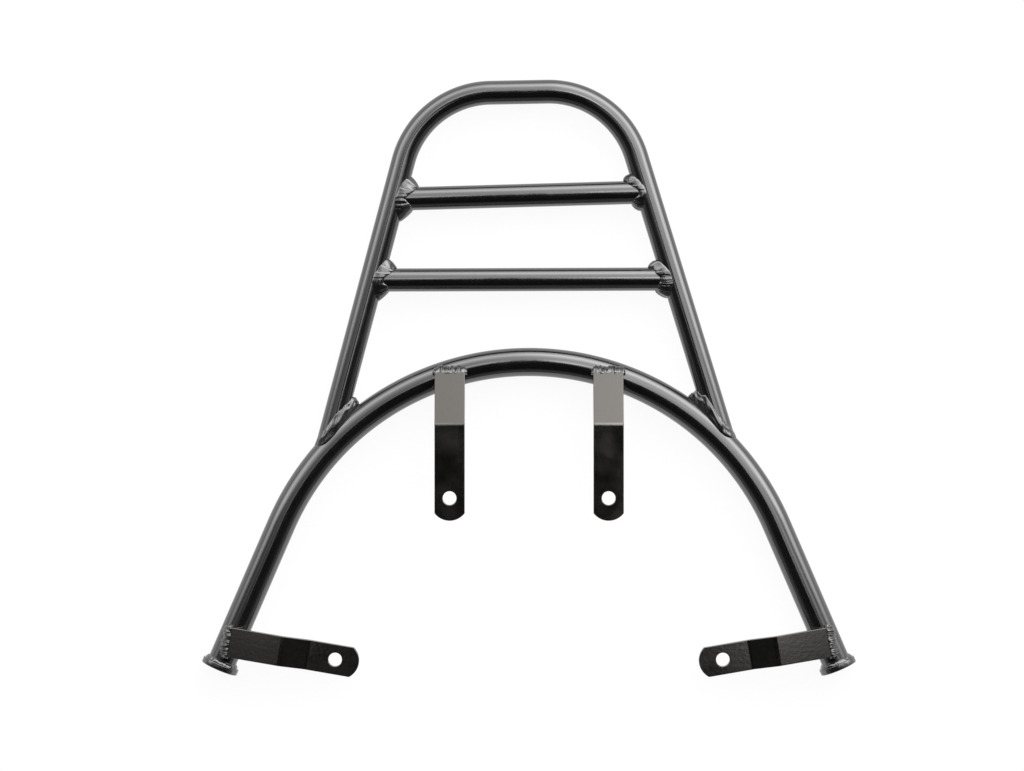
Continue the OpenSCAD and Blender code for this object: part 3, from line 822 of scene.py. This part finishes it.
def round_disc(side, around=128):
    """Profile (radius r, depth d) turned about the leg's axis: foot + d leg + r cos a across, r sin a up."""
    e = DISC_EDGE
    q = np.linspace(0, np.pi / 2, 6)
    near = np.stack([DISC_R - e + e * np.sin(q), e - e * np.cos(q)], -1)
    far = np.stack([DISC_R - e + e * np.cos(q), DISC_T - e + e * np.sin(q)], -1)
    front = np.array([[0.1 * MM, 0], [DISC_R / 2, 0]])
    profile = np.concatenate([front, near, far, front[::-1] + [0, DISC_T]])
    a = np.arange(around) * 2 * np.pi / around
    r, d = profile[:, :1], profile[:, 1:]
    xy = arch_foot + d[..., None] * arch_dir + (r * np.cos(a))[..., None] * arch_across
    return mirrored(np.concatenate([xy, (r * np.sin(a))[..., None]], -1), side)

for side, word in SIDES:
    grid_piece(f"end_disc_{word}_cut", lower(round_disc(side)), "disc_coat", f"end_disc_{word}")

# %% [markdown]
# A small fillet runs round the leg behind each disc. Its seam is a plain circle, so the bead needs
# only the two directions in which it spreads: up the leg and out over the disc.

# %% Beads behind the discs
DISC_WELD_UP, DISC_WELD_OUT, DISC_WELD_SWELL = 2.6 * MM, 1.9 * MM, 0.5 * MM

def disc_bead(side, seed, rows=260):
    """Seam: foot + radius (cos a across + sin a up), in the corner between the leg and the disc."""
    a = np.arange(rows) * 2 * np.pi / rows
    radial = np.concatenate([np.cos(a)[:, None] * arch_across, np.sin(a)[:, None]], 1)
    up_leg = -np.array([*arch_dir, 0])
    seam = np.array([*arch_foot, 0]) + radial * ARCH_D / 2
    end_a, end_b = seam + up_leg * DISC_WELD_UP, seam + radial * DISC_WELD_OUT
    section = bead(seam, end_a, end_b, unit(radial + up_leg), DISC_WELD_SWELL, 17, seed)
    return mirrored(section, side)

for side, word in SIDES:
    points = lower(disc_bead(side, 60 + side))
    grid_piece(f"disc_bead_{word}", points, "weld_coat", f"disc_weld_{word}", ring=True)

# %% [markdown]
# Each strap ends square on its tube, with one short bead across the end. It is worked out in the
# strap's own frame, where the seam is a straight line, and it tapers away past both corners.

# %% Beads along the straps' ends
STRAP_WELDS = {"upper": (70, 5.0 * MM, 1.0 * MM, 5), "lower": (80, 5.2 * MM, 1.4 * MM, 7)}
PAST_CORNER, SEAM_BACK, SEAM_UP = 1.6 * MM, 0.2 * MM, 0.2 * MM

def strap_bead(seed, width, swell, count, rows=120):
    """Seam: across = t (half width + 1.6 mm) for t from -1 to 1; both legs shrink as
    sqrt(1 - |t|^7)."""
    t = np.linspace(-1, 1, rows)
    taper = np.sqrt(np.clip(1 - np.abs(t) ** 7, 0.02, 1))[:, None]
    across = t * (STRAP_W / 2 + PAST_CORNER)
    seam = np.stack([0 * t - SEAM_BACK, across, np.full(rows, ARCH_D / 2 + SEAM_UP)], -1)
    end_a = seam + np.array([0.0, 0, 1]) * STRAP_T * 0.95 * taper
    end_b = seam + np.array([-1.0, 0, -0.22]) * width * taper
    normal = np.broadcast_to(unit(np.array([-1.0, 0, 1.0])), seam.shape)
    return bead(seam, end_a, end_b, normal, swell, count, seed, ripple=0.6)

for side, word in SIDES:
    for kind, (seed, *size) in STRAP_WELDS.items():
        local = strap_bead(seed + side, *size)
        along, across, up = local[..., :1], local[..., 1:2], local[..., 2:]
        if kind == "upper":
            xy = np.concatenate([UPPER_X + across, upper_end_y - along], -1)
        else:
            xy = along_lower(along, across)
        points = mirrored(lower(np.concatenate([xy, up], -1)), side)
        grid_piece(f"{kind}_strap_bead_{word}", points, "weld_coat", f"{kind}_strap_weld_{word}")
